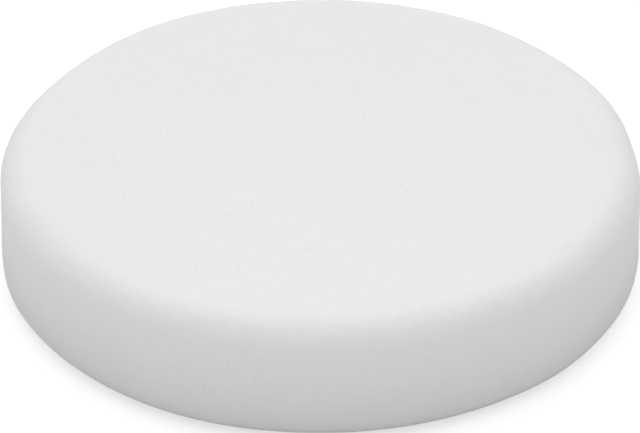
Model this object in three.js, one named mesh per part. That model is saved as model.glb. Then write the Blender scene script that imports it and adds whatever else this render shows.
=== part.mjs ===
// A round foam polishing pad with a loop back, working face up.
// Millimetres, +Z up. The origin is the centre of the back, at the tips of the loops.
import * as THREE from "three";

// Driving dimensions
const PAD_RADIUS = 75; // a 150 mm pad
const PAD_HEIGHT = 30; // from the tips of the loops to the working face
const PILE_HEIGHT = 0.8; // standing loops
const GROUND_THICKNESS = 0.35; // the knitted cloth that holds the loops
const FILM_THICKNESS = 0.25; // hot-melt adhesive
const BACK_INSET = 3.6; // the cloth is cut this much smaller than the foam, all round
const FILM_INSET = 0.3; // the adhesive stops this much short of the cloth's cut edge
const PILE_INSET = 0.2; // the loops stop this much short of the cloth's cut edge
const PILE_ROUNDING = 0.25; // the loops at the edge are worn round

const FACE_ROUNDING_IN = 8; // softened upper rim: how far in from the side it starts
const FACE_ROUNDING_DOWN = 6.8; // and how far down the side it reaches
const BACK_ROUNDING = 3; // smaller rounding where the side meets the back

const TURN_STEPS = 96; // steps round a full turn
const FACE_ARC_STEPS = 9;
const BACK_ARC_STEPS = 5;
const PILE_ARC_STEPS = 3;

// Heights of the stack, worked out from the back upwards
const GROUND_Z = PILE_HEIGHT;
const FILM_Z = GROUND_Z + GROUND_THICKNESS;
const FOAM_Z = FILM_Z + FILM_THICKNESS;
const GROUND_RADIUS = PAD_RADIUS - BACK_INSET;

// Profile points along part of an ellipse, from one angle to the other, both in degrees.
function arcPoints(centre, reach, fromDegrees, toDegrees, steps) {
  const points = [];
  for (let i = 0; i <= steps; i += 1) {
    const angle = THREE.MathUtils.degToRad(fromDegrees + ((toDegrees - fromDegrees) * i) / steps);
    const radius = centre.x + reach.x * Math.cos(angle);
    const height = centre.y + reach.y * Math.sin(angle);
    points.push(new THREE.Vector2(radius, height));
  }
  return points;
}

// A closed round solid from a profile of radius and height, both ends of which lie on the axis.
function turned(profile) {
  const geometry = new THREE.LatheGeometry(profile, TURN_STEPS);
  geometry.rotateX(Math.PI / 2);
  return geometry;
}

function onAxis(height) {
  return new THREE.Vector2(0, height);
}

function named(name, geometry, material) {
  const mesh = new THREE.Mesh(geometry, material);
  mesh.name = name;
  return mesh;
}

// The foam puck: flat back, small rounding, upright side, large soft rounding, flat working face.
function foamDisc() {
  const backArc = arcPoints(
    new THREE.Vector2(PAD_RADIUS - BACK_ROUNDING, FOAM_Z + BACK_ROUNDING),
    new THREE.Vector2(BACK_ROUNDING, BACK_ROUNDING),
    -90,
    0,
    BACK_ARC_STEPS,
  );
  const faceArc = arcPoints(
    new THREE.Vector2(PAD_RADIUS - FACE_ROUNDING_IN, PAD_HEIGHT - FACE_ROUNDING_DOWN),
    new THREE.Vector2(FACE_ROUNDING_IN, FACE_ROUNDING_DOWN),
    0,
    90,
    FACE_ARC_STEPS,
  );
  const profile = [onAxis(FOAM_Z), ...backArc, ...faceArc, onAxis(PAD_HEIGHT)];
  const foam = new THREE.MeshStandardMaterial({ color: 0xf2f2f0, roughness: 0.92, metalness: 0 });
  return named("foam_disc", turned(profile), foam);
}

// A plain round sheet between two heights.
function sheetGeometry(radius, bottom, top) {
  return turned([
    onAxis(bottom),
    new THREE.Vector2(radius, bottom),
    new THREE.Vector2(radius, top),
    onAxis(top),
  ]);
}

function adhesiveFilm() {
  const glue = new THREE.MeshStandardMaterial({ color: 0xd9d6cc, roughness: 0.35, metalness: 0 });
  return named("adhesive_film", sheetGeometry(GROUND_RADIUS - FILM_INSET, FILM_Z, FOAM_Z), glue);
}

function loopGround() {
  const knit = new THREE.MeshStandardMaterial({ color: 0xd6d6d4, roughness: 0.85, metalness: 0 });
  return named("loop_ground", sheetGeometry(GROUND_RADIUS, GROUND_Z, FILM_Z), knit);
}

// The standing loops as one solid as high as they are, with the outer tips rounded over.
function loopPile() {
  const radius = GROUND_RADIUS - PILE_INSET;
  const tipArc = arcPoints(
    new THREE.Vector2(radius - PILE_ROUNDING, PILE_ROUNDING),
    new THREE.Vector2(PILE_ROUNDING, PILE_ROUNDING),
    -90,
    0,
    PILE_ARC_STEPS,
  );
  const profile = [onAxis(0), ...tipArc, new THREE.Vector2(radius, GROUND_Z), onAxis(GROUND_Z)];
  const nylon = new THREE.MeshStandardMaterial({ color: 0xdededc, roughness: 0.8, metalness: 0 });
  return named("loop_pile", turned(profile), nylon);
}

const pad = new THREE.Group();
pad.add(foamDisc(), adhesiveFilm(), loopGround(), loopPile());

export default pad;
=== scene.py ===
# %% [markdown]
# # A foam polishing pad
#
# A polishing pad is a puck of soft white foam with a loop cloth bonded to its back. The polisher's hook
# plate grips the loops, and the foam's upper face works the polish into the paint. This lesson starts from
# a plain engineering model of the pad, the frame, and builds the pieces that are seen: the foam, the bead
# of adhesive, the knitted ground of the cloth and its thousands of loops. Everything is in metres, in the
# frame's own place.

# %% Load the frame
import math
import random

import bmesh
import bpy
from mathutils import Matrix, Vector, noise


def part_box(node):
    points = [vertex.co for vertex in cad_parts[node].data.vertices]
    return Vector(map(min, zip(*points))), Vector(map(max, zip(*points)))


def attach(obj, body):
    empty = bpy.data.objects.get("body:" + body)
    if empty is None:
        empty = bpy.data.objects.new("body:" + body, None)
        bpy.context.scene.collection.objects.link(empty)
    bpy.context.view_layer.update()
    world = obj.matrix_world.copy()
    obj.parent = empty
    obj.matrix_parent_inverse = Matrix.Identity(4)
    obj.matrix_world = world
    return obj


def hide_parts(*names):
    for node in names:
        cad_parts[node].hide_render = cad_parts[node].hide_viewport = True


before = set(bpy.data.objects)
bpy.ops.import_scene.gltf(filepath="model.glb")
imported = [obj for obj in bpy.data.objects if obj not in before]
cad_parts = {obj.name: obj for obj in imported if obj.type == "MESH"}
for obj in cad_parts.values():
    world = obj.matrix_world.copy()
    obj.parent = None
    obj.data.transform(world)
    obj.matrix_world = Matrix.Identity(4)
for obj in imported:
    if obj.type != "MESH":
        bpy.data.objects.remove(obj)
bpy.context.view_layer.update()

print("frame nodes:", sorted(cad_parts))

# %% [markdown]
# ## Sizes
#
# Every place is read from the frame, so that the pieces fit it with no adjusting. What the frame doesn't
# say is given in millimetres, in the cell that first needs it.

# %% Sizes
MM = 0.001
foam_low, foam_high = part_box("foam_disc")
film_low, film_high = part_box("adhesive_film")
ground_low, ground_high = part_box("loop_ground")
pile_low, pile_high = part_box("loop_pile")

PAD_RADIUS = foam_high.x
FACE_Z = foam_high.z
BACK_Z = foam_low.z

print(f"foam {2 * PAD_RADIUS / MM:.0f} mm across, {(FACE_Z - BACK_Z) / MM:.1f} mm high")

# %% [markdown]
# ## Camera
#
# A small product is shown best from some way off with a long lens, which keeps its round outline from
# bulging. The camera stands in front and looks down by about a third of a right angle, at a point inside
# the foam.

# %% Camera
CAMERA_ELEVATION = math.radians(33.12)
CAMERA_DISTANCE = 1.673
AIM_ABOVE_BACK = 11.25 * MM
AIM_LEFT = 0.11 * MM
LENS_MM = 400.0
SENSOR_MM = 36.0
CLIP_END = 50.0


def make_camera():
    data = bpy.data.cameras.new("camera")
    data.lens = LENS_MM
    data.sensor_width = SENSOR_MM
    data.clip_end = CLIP_END
    camera = bpy.data.objects.new("camera", data)
    bpy.context.scene.collection.objects.link(camera)
    aim = Vector((-AIM_LEFT, 0, BACK_Z + AIM_ABOVE_BACK))
    back = Vector((0, -math.cos(CAMERA_ELEVATION), math.sin(CAMERA_ELEVATION)))
    camera.location = aim + back * CAMERA_DISTANCE
    camera.rotation_euler = (math.pi / 2 - CAMERA_ELEVATION, 0, 0)
    bpy.context.scene.camera = camera
    return camera


camera = make_camera()
print("camera at", [round(x, 3) for x in camera.location])

# %% [markdown]
# ## Shader maths written as expressions
#
# A material is a web of nodes. Wiring each Math node by hand hides what is being worked out, so a small
# class wraps a socket and lets Python's own operators add the nodes: `1 - mask * 0.2` makes two. Every
# other node comes from one method, which takes the node's type, its settings and the values or links of
# its sockets.


# %% Shader helpers
class Wire:
    """An output socket. Arithmetic on it adds Math nodes."""

    def __init__(self, finish, socket):
        self.finish = finish
        self.socket = socket

    def maths(self, operation, first, second):
        """One Math node."""
        return self.finish.add("ShaderNodeMath", {"operation": operation}, {0: first, 1: second})

    def __add__(self, other):
        return self.maths("ADD", self, other)

    def __radd__(self, other):
        return self.maths("ADD", other, self)

    def __sub__(self, other):
        return self.maths("SUBTRACT", self, other)

    def __rsub__(self, other):
        return self.maths("SUBTRACT", other, self)

    def __mul__(self, other):
        return self.maths("MULTIPLY", self, other)

    def __rmul__(self, other):
        return self.maths("MULTIPLY", other, self)

    def sine(self):
        return self.maths("SINE", self, 0)

    def output(self, name):
        """Another output of the same node."""
        return Wire(self.finish, self.socket.node.outputs[name])


class Finish:
    """A material with a Principled surface, and the one method that adds its other nodes."""

    def __init__(self, name, **constants):
        self.material = bpy.data.materials.new(name)
        self.material.use_nodes = True
        self.tree = self.material.node_tree
        self.surface = self.tree.nodes["Principled BSDF"]
        for socket, value in constants.items():
            self.surface.inputs[socket.replace("_", " ")].default_value = value

    def add(self, kind, settings, inputs, output=0):
        node = self.tree.nodes.new(kind)
        for setting, value in settings.items():
            setattr(node, setting, value)
        for socket, value in inputs.items():
            self.connect(node.inputs[socket], value)
        return Wire(self, node.outputs[output])

    def connect(self, socket, value):
        if isinstance(value, Wire):
            self.tree.links.new(value.socket, socket)
        else:
            socket.default_value = value

    def feed(self, **sockets):
        """Links or sets sockets of the surface."""
        for socket, value in sockets.items():
            self.connect(self.surface.inputs[socket.replace("_", " ")], value)

    def place(self):
        return self.add("ShaderNodeTexCoord", {}, {}, "Object")

    def noise(self, place, size, detail=2.0):
        """Soft random values from 0 to 1, with blotches about as large as size."""
        return self.add("ShaderNodeTexNoise", {}, {"Vector": place, "Scale": 1 / size, "Detail": detail})

    def cells(self, place, size, feature="F1"):
        return self.add(
            "ShaderNodeTexVoronoi", {"feature": feature}, {"Vector": place, "Scale": 1 / size}, "Distance"
        )

    def step(self, value, low, high):
        """0 below low, 1 above high and a smooth slope between."""
        return self.add(
            "ShaderNodeMapRange",
            {"interpolation_type": "SMOOTHSTEP"},
            {"Value": value, "From Min": low, "From Max": high},
        )

    def blend(self, share, first, second):
        """Colour first where share is 0 and colour second where it is 1."""
        return self.add("ShaderNodeMix", {"data_type": "RGBA"}, {0: share, 6: first, 7: second}, 2)

    def bump(self, height, depth, strength=1.0):
        return self.add(
            "ShaderNodeBump", {}, {"Height": height, "Distance": depth, "Strength": strength}, "Normal"
        )


def grey(level):
    return (level, level, level, 1.0)


print("shader helpers ready")

# %% [markdown]
# ## Stage and light
#
# The pad lies on a plain white table. Most of the light comes from one very large soft box overhead, and
# the rest from a smaller one behind the pad. A sun lamp with a wide disc stands for each box, because it
# falls evenly on the whole table. The table glows a little, but not near the pad: light from below would
# wash out its side, which has to darken towards the table for the foam to look round and soft. White foam
# on a white table needs a background that is whiter still, so a thin bright veil lies on the table. It
# gives off no light that reaches the pad, and lets only the deepest part of the pad's shadow through. Last
# comes a weak lamp, near and above the front of the pad. Its light falls off with distance, so the face
# grows a little brighter towards the front.

# %% Stage and light
FLOOR_RADIUS = 12.0
FLOOR_SIDES = 64
FLOOR_WHITE = 0.80
FLOOR_GLOW = 0.385
GLOW_STARTS = PAD_RADIUS + 5 * MM
GLOW_FULL = PAD_RADIUS + 45 * MM
VEIL_COVER = 0.4
VEIL_GLOW = 1.6
VEIL_HEIGHT = 0.02 * MM
ROOM_LEVEL = 0.05


def lay_disc(name, height, material):
    """A wide round sheet, which is part of the stage and not of the pad."""
    bm = bmesh.new()
    bmesh.ops.create_circle(bm, cap_ends=True, segments=FLOOR_SIDES, radius=FLOOR_RADIUS)
    bmesh.ops.translate(bm, vec=(0, 0, height), verts=bm.verts)
    mesh = bpy.data.meshes.new(name)
    bm.to_mesh(mesh)
    bm.free()
    mesh.materials.append(material)
    disc = bpy.data.objects.new(name, mesh)
    bpy.context.scene.collection.objects.link(disc)
    return disc


def make_floor():
    finish = Finish("white_table", Base_Color=grey(FLOOR_WHITE), Roughness=1.0, Specular_IOR_Level=0.0)
    from_axis = finish.add("ShaderNodeVectorMath", {"operation": "LENGTH"}, {0: finish.place()}, "Value")
    glow = finish.step(from_axis, GLOW_STARTS, GLOW_FULL)
    finish.feed(Emission_Color=glow, Emission_Strength=FLOOR_GLOW)
    lay_disc("floor", 0, finish.material)


def make_veil():
    finish = Finish("bright_veil", Base_Color=grey(0.0), Specular_IOR_Level=0.0, Alpha=VEIL_COVER)
    finish.feed(Emission_Color=grey(1.0), Emission_Strength=VEIL_GLOW)
    veil = lay_disc("veil", VEIL_HEIGHT, finish.material)
    veil.visible_diffuse = False
    veil.visible_glossy = False
    veil.visible_shadow = False


def make_room():
    world = bpy.data.worlds.new("studio")
    world.use_nodes = True
    background = world.node_tree.nodes["Background"]
    background.inputs["Color"].default_value = grey(1.0)
    background.inputs["Strength"].default_value = ROOM_LEVEL
    bpy.context.scene.world = world


def make_soft_box(name, energy, width, lean_back, lean_left):
    """A soft box far away. Its width and how far it leans from overhead are in degrees."""
    data = bpy.data.lights.new(name, "SUN")
    data.energy = energy
    data.angle = math.radians(width)
    box = bpy.data.objects.new(name, data)
    box.rotation_euler = (-math.radians(lean_back), -math.radians(lean_left), 0)
    bpy.context.scene.collection.objects.link(box)


def make_front_lamp(power, radius, place):
    """A near lamp, which lights the near part of the face a little more than the far part."""
    data = bpy.data.lights.new("front_lamp", "POINT")
    data.energy = power
    data.shadow_soft_size = radius
    lamp = bpy.data.objects.new("front_lamp", data)
    lamp.location = place
    lamp.visible_camera = False
    bpy.context.scene.collection.objects.link(lamp)


make_floor()
make_veil()
make_room()
make_soft_box("overhead_box", energy=2.38, width=130, lean_back=0, lean_left=1)
make_soft_box("back_box", energy=0.71, width=60, lean_back=40, lean_left=4)
make_front_lamp(power=0.20, radius=0.04, place=(0, -0.06, 0.28))
bpy.context.scene.view_settings.view_transform = "Standard"
print("floor, veil, room, soft boxes and front lamp ready")

# %% [markdown]
# ## Turning a bmesh into a piece
#
# A bmesh becomes a mesh, the mesh an object at the origin, and the object a piece: it rides on the pad's one
# body and stands for the plain solid of the frame.


# %% Making pieces
def make_piece(name, bm, material):
    bmesh.ops.recalc_face_normals(bm, faces=bm.faces)
    mesh = bpy.data.meshes.new(name)
    bm.to_mesh(mesh)
    bm.free()
    mesh.materials.append(material)
    mesh.shade_smooth()
    piece = bpy.data.objects.new(name, mesh)
    bpy.context.scene.collection.objects.link(piece)
    return piece


def stands_for(piece, node):
    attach(piece, "root")
    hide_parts(node)
    piece.data.calc_loop_triangles()
    print(f"{piece.name}: {len(piece.data.loop_triangles)} triangles")


def work_in_modifiers(piece):
    """Makes the piece's modifiers part of its mesh."""
    graph = bpy.context.evaluated_depsgraph_get()
    mesh = bpy.data.meshes.new_from_object(piece.evaluated_get(graph), depsgraph=graph)
    piece.modifiers.clear()
    piece.data = mesh
    mesh.shade_smooth()


print("piece helpers ready")

# %% [markdown]
# ## The foam puck
#
# The real puck is cut from a block, and its upper rim is ground soft. Its shape is a body of revolution,
# so half of its section is drawn once and spun round. A spun mesh crowds its points at the middle and
# starves the rim, which is no good for fine unevenness, so it is remeshed into even small squares and then
# relaxed.

# %% Spinning the puck
FACE_ROUNDING_IN = 8.0 * MM
FACE_ROUNDING_DOWN = 6.8 * MM
BACK_ROUNDING = 3.0 * MM
WELD = 0.001 * MM
SPIN_STEPS = 720
FACE_ARC_STEPS = 24
BACK_ARC_STEPS = 10
FOAM_VOXEL = 0.74 * MM
RELAX_TURNS = 2


def draw_arc(bm, centre, reach, start, stop, steps):
    """Points in the XZ plane along part of an ellipse, from one angle to the other."""
    points = []
    for i in range(steps + 1):
        angle = start + (stop - start) * i / steps
        x = centre[0] + reach[0] * math.cos(angle)
        z = centre[1] + reach[1] * math.sin(angle)
        points.append(bm.verts.new((x, 0, z)))
    return points


def spin_profile(bm, outline, steps):
    """Joins the points of an outline and spins it all round the pad's axis."""
    edges = [bm.edges.new(pair) for pair in zip(outline, outline[1:])]
    bmesh.ops.spin(
        bm,
        geom=outline + edges,
        cent=(0, 0, 0),
        axis=(0, 0, 1),
        angle=2 * math.pi,
        steps=steps,
        use_merge=True,
    )
    bmesh.ops.remove_doubles(bm, verts=bm.verts, dist=WELD)


def foam_shape():
    bm = bmesh.new()
    outline = [bm.verts.new((0, 0, BACK_Z))]
    outline += draw_arc(
        bm,
        (PAD_RADIUS - BACK_ROUNDING, BACK_Z + BACK_ROUNDING),
        (BACK_ROUNDING, BACK_ROUNDING),
        -math.pi / 2,
        0,
        BACK_ARC_STEPS,
    )
    outline += draw_arc(
        bm,
        (PAD_RADIUS - FACE_ROUNDING_IN, FACE_Z - FACE_ROUNDING_DOWN),
        (FACE_ROUNDING_IN, FACE_ROUNDING_DOWN),
        0,
        math.pi / 2,
        FACE_ARC_STEPS,
    )
    outline.append(bm.verts.new((0, 0, FACE_Z)))
    spin_profile(bm, outline, SPIN_STEPS)
    return bm


def remesh_evenly(piece, voxel):
    remesh = piece.modifiers.new("even", "REMESH")
    remesh.mode = "VOXEL"
    remesh.voxel_size = voxel
    work_in_modifiers(piece)


def relax(piece, turns):
    bm = bmesh.new()
    bm.from_mesh(piece.data)
    for _ in range(turns):
        bmesh.ops.smooth_vert(
            bm,
            verts=bm.verts,
            factor=0.5,
            use_axis_x=True,
            use_axis_y=True,
            use_axis_z=True,
        )
    bm.to_mesh(piece.data)
    bm.free()


print(f"spin of {SPIN_STEPS} steps, remeshed at {FOAM_VOXEL / MM:.2f} mm")

# %% [markdown]
# ## What makes foam look like foam
#
# A block of foam is never quite true. The face rolls by a tenth or two of a millimetre, it keeps shallow
# dents where it was pressed, and the puck is cut a few tenths of a millimetre out of round. These are
# shapes, so they go into the mesh. The cells themselves are half a millimetre across, with a larger one
# lying open every few millimetres, and they go into the finish.

# %% Unevenness of the foam
ROLL_SIZE = 28.0 * MM
ROLL_DEPTH = 0.22 * MM
LUMP_SIZE = 5.0 * MM
LUMP_DEPTH = 0.05 * MM
GRAIN_SIZE = 1.8 * MM
GRAIN_DEPTH = 0.035 * MM
BOND_FADE = 2.5 * MM
# Where the face was pressed: place across and along, half width and depth, all in mm.
# A depth below 0 is a rise.
DENTS = [
    (-9.5, 40.5, 9.0, 0.34),
    (22.5, 9.0, 6.0, 0.20),
    (38.5, 20.5, 8.0, 0.30),
    (-31.0, 37.0, 7.0, 0.15),
    (-12.0, -1.0, 8.0, 0.12),
    (-64.0, 40.0, 22.0, 0.45),
    (-41.0, 63.0, 16.0, -0.25),
    (42.0, 63.0, 20.0, -0.28),
    (66.0, 35.0, 26.0, -0.28),
    (-71.0, -38.0, 17.0, 1.0),
    (-57.0, -55.0, 15.0, 0.55),
]
# Where the puck is cut out of round: direction and half width in degrees, push outwards in mm.
# A push below 0 is a flat.
BULGES = [
    (6.5, 11.0, -0.28),
    (24.0, 14.0, 0.20),
    (110.0, 18.0, 0.35),
    (147.0, 20.0, -0.40),
    (173.0, 12.0, 0.18),
    (195.0, 11.0, 0.19),
    (245.0, 22.0, 0.33),
    (317.0, 14.0, 0.30),
]


def add_displacement(piece, name, kind, size, depth):
    texture = bpy.data.textures.new(name, kind)
    texture.noise_scale = size
    displace = piece.modifiers.new(name, "DISPLACE")
    displace.texture = texture
    displace.texture_coords = "LOCAL"
    displace.strength = 2 * depth
    displace.mid_level = 0.5
    displace.vertex_group = "free"


def mark_free_surface(piece):
    """Weights that leave the bonded back flat: 0 on it, 1 a little way up the side."""
    group = piece.vertex_groups.new(name="free")
    for vertex in piece.data.vertices:
        rise = min(max((vertex.co.z - BACK_Z) / BOND_FADE, 0.0), 1.0)
        group.add([vertex.index], rise, "REPLACE")


def swell(share):
    """1 in the middle of a dent or bulge, 0 at its rim, and smooth between."""
    return (1 - share * share) ** 2 if share < 1 else 0.0


def press_dents(piece):
    """Moves the face up or down under each dent. The push fades out half-way down the side."""
    for vertex in piece.data.vertices:
        height = (vertex.co.z - BACK_Z) / (FACE_Z - BACK_Z)
        fade = max(0.0, 2 * height - 1)
        if fade == 0:
            continue
        sink = 0.0
        for across, along, half_width, depth in DENTS:
            away = math.hypot(vertex.co.x / MM - across, vertex.co.y / MM - along)
            sink += depth * MM * swell(away / half_width)
        vertex.co.z -= sink * fade


def cut_out_of_round(piece):
    """Moves the side in or out in each bulge's direction. The push fades out half-way to the axis."""
    for vertex in piece.data.vertices:
        out = Vector((vertex.co.x, vertex.co.y, 0))
        fade = max(0.0, 2 * out.length / PAD_RADIUS - 1)
        if fade == 0:
            continue
        bearing = math.degrees(math.atan2(out.y, out.x))
        outwards = 0.0
        for direction, half_width, push in BULGES:
            away = abs((bearing - direction + 180) % 360 - 180)
            outwards += push * MM * swell(away / half_width)
        vertex.co += out.normalized() * outwards * fade


def make_foam(material):
    foam = make_piece("foam_disc_cut", foam_shape(), material)
    remesh_evenly(foam, FOAM_VOXEL)
    relax(foam, RELAX_TURNS)
    mark_free_surface(foam)
    press_dents(foam)
    cut_out_of_round(foam)
    add_displacement(foam, "roll", "CLOUDS", ROLL_SIZE, ROLL_DEPTH)
    add_displacement(foam, "lumps", "CLOUDS", LUMP_SIZE, LUMP_DEPTH)
    add_displacement(foam, "grain", "VORONOI", GRAIN_SIZE, GRAIN_DEPTH)
    work_in_modifiers(foam)
    foam.vertex_groups.clear()
    return foam


print(f"{len(DENTS)} dents and rises in the face, {len(BULGES)} bulges and flats round the side")

# %% [markdown]
# ## The finish of the foam
#
# Cut open-cell foam is matt: light goes in between the walls of the cells and comes out again from all
# sides. The walls are bright, and the shade inside the open cells between them is painted into the colour
# as a slight grey. A Voronoi pattern gives exactly that, walls round rounded hollows. It feeds the colour
# and a bump, with a little slow mottling from the block, and the larger open pores get painted shade too.

# %% The finish of the foam
CELL = 0.55 * MM
FLUFF = 0.25 * MM
MOTTLE = 14 * MM
PORE_SPACING = 4.5 * MM
WALL_WHITE = 0.81
# The walls keep the foam's own white. The next grey is painted shade in the cell hollows, and the foam's
# random tone also uses it. The one after is painted shade in the open pores.
CELL_PAINTED_SHADE_AND_TONE = 0.75
PORE_PAINTED_SHADE = 0.60
PORE_COVER = 0.2
CELL_DEPTH = 0.10 * MM
CELL_BUMP = 0.3


def foam_finish():
    finish = Finish("white_foam", Specular_IOR_Level=0.15)
    place = finish.place()
    walls = finish.cells(place, CELL, "DISTANCE_TO_EDGE")
    hollow = finish.step(walls, 0.02, 0.30)
    fluff = finish.noise(place, FLUFF, 3.0)
    mottle = finish.noise(place, MOTTLE, 3.0)
    pore_cells = finish.cells(place, PORE_SPACING)
    pore = 1 - finish.step(pore_cells, 0.05, 0.12)
    # Painted shade in the cell hollows, mixed with the foam's own random fluff and mottle.
    painted_shade_and_tone = hollow * 0.55 + fluff * 0.35 + mottle * 0.25 - 0.1
    colour = finish.blend(painted_shade_and_tone, grey(WALL_WHITE), grey(CELL_PAINTED_SHADE_AND_TONE))
    # Painted shade in the larger open pores.
    colour = finish.blend(pore * PORE_COVER, colour, grey(PORE_PAINTED_SHADE))
    height = 1 - hollow * 0.7 + fluff * 0.4 - pore * 0.5
    finish.feed(
        Base_Color=colour,
        Roughness=0.9 + fluff * 0.1,
        Normal=finish.bump(height, CELL_DEPTH, CELL_BUMP),
    )
    return finish.material


foam = make_foam(foam_finish())
stands_for(foam, "foam_disc")

# %% [markdown]
# ## The adhesive film
#
# The cloth is pressed onto a hot-melt film. Where the film was squeezed it creeps towards the cloth's cut
# edge as a thin bead, never quite even. A disc with a rounded edge is spun, and its edge is pushed in and
# out by a slow noise.

# %% The adhesive film
FILM_STEPS = 360
FILM_CREEP = 0.35 * MM
FILM_EDGE_STEPS = 6
FILM_CREEP_SIZE = 9.0 * MM
FILM_RIPPLE = 1.2 * MM
FILM_RIPPLE_DEPTH = 0.08 * MM
FILM_CLOUD = 6 * MM
FILM_DULL = (0.66, 0.64, 0.58, 1)
FILM_PALE = (0.74, 0.72, 0.66, 1)
EDGE_BAND = 4


def film_finish():
    finish = Finish("hot_melt", Specular_IOR_Level=0.5)
    place = finish.place()
    ripple = finish.noise(place, FILM_RIPPLE, 3.0)
    cloud = finish.noise(place, FILM_CLOUD, 2.0)
    colour = finish.blend(cloud, FILM_DULL, FILM_PALE)
    finish.feed(
        Base_Color=colour,
        Roughness=0.28 + ripple * 0.3,
        Normal=finish.bump(ripple, FILM_RIPPLE_DEPTH, 0.6),
    )
    return finish.material


def push_edge(bm, radius, reach, size, seed_height):
    """Moves points near the outer radius in and out by a noise that runs round the edge.

    The moved band is EDGE_BAND times the reach wide, and each seed height gives another edge.
    """
    for vertex in bm.verts:
        flat = Vector((vertex.co.x, vertex.co.y, 0))
        share = max(0.0, 1 - (radius - flat.length) / (EDGE_BAND * reach))
        if share == 0 or flat.length == 0:
            continue
        where = flat / size + Vector((0, 0, seed_height))
        push = reach * share * noise.noise(where)
        vertex.co += flat.normalized() * push


def disc_shape(radius, bottom, top, steps, edge_steps):
    """A thin disc with a fully rounded edge."""
    bm = bmesh.new()
    half = (top - bottom) / 2
    middle = (top + bottom) / 2
    outline = [bm.verts.new((0, 0, bottom))]
    outline += draw_arc(bm, (radius - half, middle), (half, half), -math.pi / 2, math.pi / 2, edge_steps)
    outline.append(bm.verts.new((0, 0, top)))
    spin_profile(bm, outline, steps)
    return bm


film_shape = disc_shape(film_high.x, film_low.z, film_high.z, FILM_STEPS, FILM_EDGE_STEPS)
push_edge(film_shape, film_high.x, FILM_CREEP, FILM_CREEP_SIZE, 3.0)
film = make_piece("adhesive_bead", film_shape, film_finish())
stands_for(film, "adhesive_film")

# %% [markdown]
# ## The knitted ground
#
# The loops stand on a thin warp knit. Its columns of stitches run one way across the pad, and the round
# edge is cut by a hot die that leaves it a little wavy. The shape is a thin disc, and the stitches are in
# its finish, because their yarn is finer than a mesh of this size can show.

# %% The knitted ground
GROUND_WAVE = 0.15 * MM
GROUND_WAVE_SIZE = 4.0 * MM
WALE = 0.9 * MM
COURSE = 0.7 * MM
STITCH_SLANT = 1.2
STITCH_DEPTH = 0.12 * MM
GROUND_FIBRE = 0.2 * MM


def knit_finish():
    finish = Finish("warp_knit", Specular_IOR_Level=0.3)
    place = finish.place()
    axes = finish.add("ShaderNodeSeparateXYZ", {}, {0: place})
    across = axes * (2 * math.pi / WALE)
    along = axes.output("Y") * (2 * math.pi / COURSE)
    wales = across.sine()
    courses = (along + wales * STITCH_SLANT).sine()
    stitch = (wales + courses) * 0.25 + 0.5
    fibre = finish.noise(place, GROUND_FIBRE, 3.0)
    colour = finish.blend(stitch * 0.7 + fibre * 0.3, grey(0.46), grey(0.66))
    finish.feed(
        Base_Color=colour,
        Roughness=0.8 + fibre * 0.15,
        Normal=finish.bump(stitch + fibre * 0.3, STITCH_DEPTH, 0.7),
    )
    return finish.material


ground_shape = disc_shape(ground_high.x, ground_low.z, ground_high.z, FILM_STEPS, FILM_EDGE_STEPS)
push_edge(ground_shape, ground_high.x, GROUND_WAVE, GROUND_WAVE_SIZE, 11.0)
ground = make_piece("knitted_ground", ground_shape, knit_finish())
stands_for(ground, "loop_ground")

# %% [markdown]
# ## The loops
#
# Each loop is an arch of nylon. One arch is made by spinning a small triangle of yarn through half a turn,
# and it is then set down thousands of times in brick rows, each copy turned, leant and sized a little
# differently. Three sides are enough for a yarn a quarter of a millimetre thick, and they keep the mesh
# light.

# %% The loops
LOOP_ROW_PITCH = 1.55 * MM
LOOP_PITCH = 1.70 * MM
LOOP_HALF_WIDTH = 0.55 * MM
YARN_RADIUS = 0.13 * MM
YARN_SIDES = 3
ARCH_STEPS = 5
LOOP_JITTER = 0.35 * MM
LOOP_TURN = math.radians(40)
LOOP_LEAN = math.radians(22)
LOOP_TALLNESS = (0.82, 1.0)
LOOP_SPREAD = (0.8, 1.15)
LOOP_SEED = 7


def one_loop():
    """An arch that hangs down from the origin, with closed ends."""
    bm = bmesh.new()
    bmesh.ops.create_circle(bm, cap_ends=True, segments=YARN_SIDES, radius=YARN_RADIUS)
    bmesh.ops.translate(bm, vec=(LOOP_HALF_WIDTH, 0, 0), verts=bm.verts)
    bmesh.ops.spin(
        bm,
        geom=bm.faces[:],
        cent=(0, 0, 0),
        axis=(0, 1, 0),
        angle=math.pi,
        steps=ARCH_STEPS,
    )
    bmesh.ops.remove_doubles(bm, verts=bm.verts, dist=WELD)
    mesh = bpy.data.meshes.new("one_loop")
    bm.to_mesh(mesh)
    bm.free()
    return mesh


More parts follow.
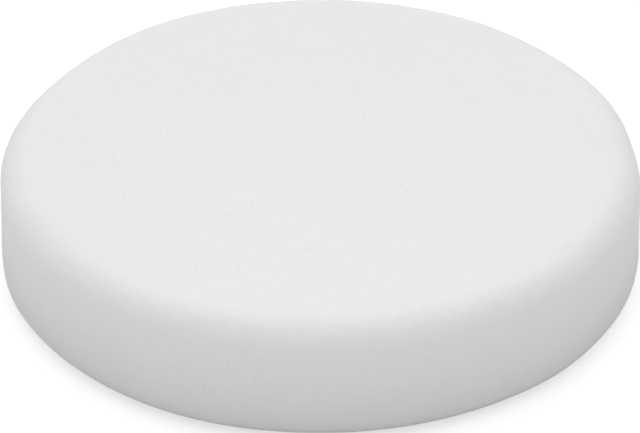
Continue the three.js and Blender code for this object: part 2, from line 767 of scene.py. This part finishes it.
def loop_places(radius, draw):
    """Where the loops stand, in brick rows with a little scatter."""
    places = []
    rows = int(radius / LOOP_ROW_PITCH) + 1
    columns = int(radius / LOOP_PITCH) + 1
    for row in range(-rows, rows + 1):
        for column in range(-columns, columns + 1):
            x = (column + 0.5 * (row % 2)) * LOOP_PITCH + draw.uniform(-1, 1) * LOOP_JITTER
            y = row * LOOP_ROW_PITCH + draw.uniform(-1, 1) * LOOP_JITTER
            if math.hypot(x, y) < radius - LOOP_HALF_WIDTH:
                places.append(Vector((x, y, 0)))
    return places


def loops_shape():
    draw = random.Random(LOOP_SEED)
    arch = one_loop()
    root_z = pile_high.z
    height = root_z - pile_low.z
    bm = bmesh.new()
    for place in loop_places(pile_high.x, draw):
        size = draw.uniform(*LOOP_TALLNESS)
        tall = height / (LOOP_HALF_WIDTH + YARN_RADIUS) * size
        turn = Matrix.Rotation(draw.uniform(-1, 1) * LOOP_TURN, 4, "Z")
        lean = Matrix.Rotation(draw.uniform(-1, 1) * LOOP_LEAN, 4, "X")
        stretch = Matrix.Diagonal((draw.uniform(*LOOP_SPREAD), 1, tall, 1))
        stand = Matrix.Translation((place.x, place.y, root_z))
        loop = arch.copy()
        loop.transform(stand @ turn @ lean @ stretch)
        bm.from_mesh(loop)
        bpy.data.meshes.remove(loop)
    bpy.data.meshes.remove(arch)
    return bm


NYLON_STRAND = 0.12 * MM
NYLON_STRAND_DEPTH = 0.03 * MM
NYLON_PATCH = 7 * MM


def nylon_finish():
    finish = Finish("nylon_loops", Specular_IOR_Level=0.4)
    place = finish.place()
    strand = finish.noise(place, NYLON_STRAND, 2.0)
    patch = finish.noise(place, NYLON_PATCH, 2.0)
    colour = finish.blend(strand * 0.6 + patch * 0.4, grey(0.62), grey(0.84))
    finish.feed(
        Base_Color=colour,
        Roughness=0.45 + strand * 0.3,
        Normal=finish.bump(strand, NYLON_STRAND_DEPTH, 0.5),
    )
    return finish.material


loops = make_piece("nylon_loops", loops_shape(), nylon_finish())
stands_for(loops, "loop_pile")
